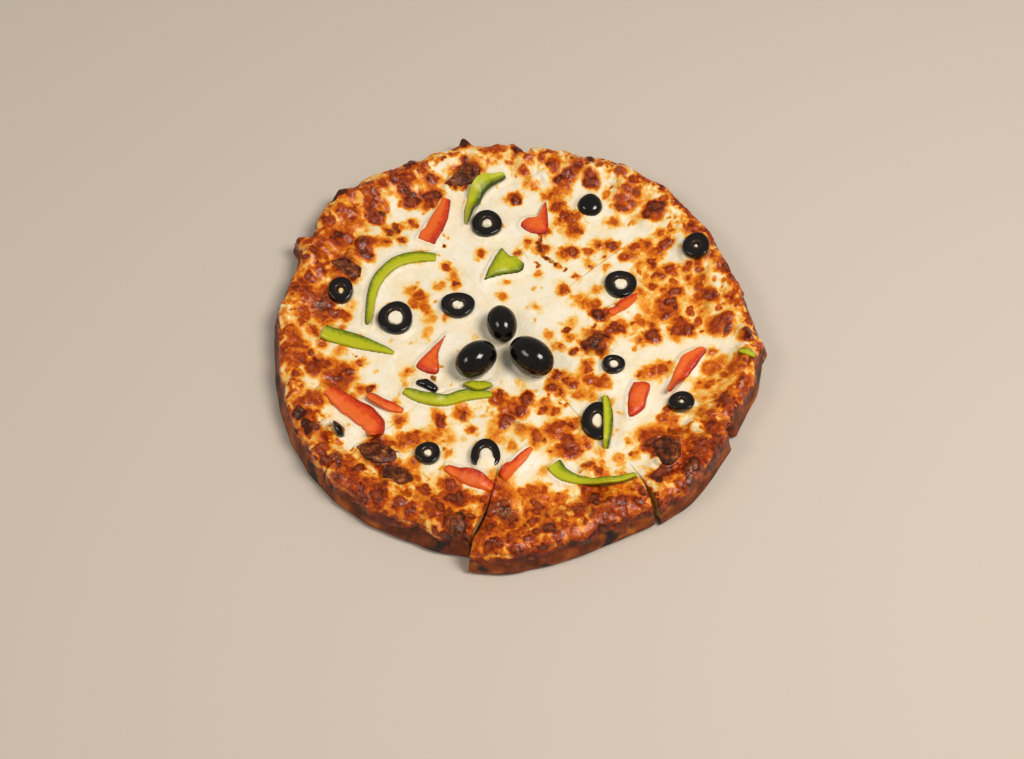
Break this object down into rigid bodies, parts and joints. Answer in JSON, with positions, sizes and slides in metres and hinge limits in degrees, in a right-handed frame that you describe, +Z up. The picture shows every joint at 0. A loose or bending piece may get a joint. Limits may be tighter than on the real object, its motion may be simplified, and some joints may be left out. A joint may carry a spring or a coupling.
{
  "type": "vegetarian pizza",
  "caption": "Round baked pizza cut into slices that keep the whole, with a browned crust, melted cheese, black olives, green pepper, tomato and mushroom.",
  "frame": {"origin": "middle of the footprint's bounding box, on the surface that the pizza lies on", "axes": "+Z up through the pizza's thickness, -Y towards the picture's camera, +X to its right"},
  "size_m": [0.2648, 0.2672, 0.0293],
  "materials": {
    "dough": "baked bread crust, matt, golden to dark brown with a little oil",
    "cheese": "melted mozzarella, cream to yellow, with orange and dark brown blisters, slightly oily",
    "olive": "black olive, smooth wet skin, duller cut faces",
    "green_pepper": "cooked green bell pepper, dark green skin and yellow-green flesh, wet",
    "tomato": "cooked tomato flesh, red-orange, wet",
    "mushroom": "browned mushroom under scorched cheese, dark, uneven"
  },
  "bodies": {
    "root": {"slice_1_dough": "dough", "slice_1_cheese": "cheese", "slice_2_dough": "dough", "slice_2_cheese": "cheese", "slice_3_dough": "dough", "slice_3_cheese": "cheese", "slice_4_dough": "dough", "slice_4_cheese": "cheese", "slice_5_dough": "dough", "slice_5_cheese": "cheese", "slice_6_dough": "dough", "slice_6_cheese": "cheese", "slice_7_dough": "dough", "slice_7_cheese": "cheese", "slice_8_dough": "dough", "slice_8_cheese": "cheese", "olive_ring_1": "olive", "olive_ring_2": "olive", "olive_ring_3": "olive", "olive_ring_4": "olive", "olive_ring_5": "olive", "olive_ring_6": "olive", "olive_ring_7": "olive", "olive_ring_8": "olive", "olive_ring_9": "olive", "olive_ring_10": "olive", "olive_ring_11": "olive", "olive_end_1": "olive", "olive_bit_1": "olive", "olive_bit_2": "olive", "whole_olive_1": "olive", "whole_olive_2": "olive", "whole_olive_3": "olive", "green_pepper_1": "green_pepper", "green_pepper_2": "green_pepper", "green_pepper_3": "green_pepper", "green_pepper_4": "green_pepper", "green_pepper_5": "green_pepper", "green_pepper_6": "green_pepper", "green_pepper_7": "green_pepper", "green_pepper_8": "green_pepper", "green_pepper_9": "green_pepper", "tomato_1": "tomato", "tomato_2": "tomato", "tomato_3": "tomato", "tomato_4": "tomato", "tomato_5": "tomato", "tomato_6": "tomato", "tomato_7": "tomato", "tomato_8": "tomato", "tomato_9": "tomato", "tomato_10": "tomato", "mushroom_1": "mushroom", "mushroom_2": "mushroom", "mushroom_3": "mushroom", "mushroom_4": "mushroom", "mushroom_5": "mushroom", "mushroom_6": "mushroom", "mushroom_7": "mushroom"}
  },
  "joints": []
}
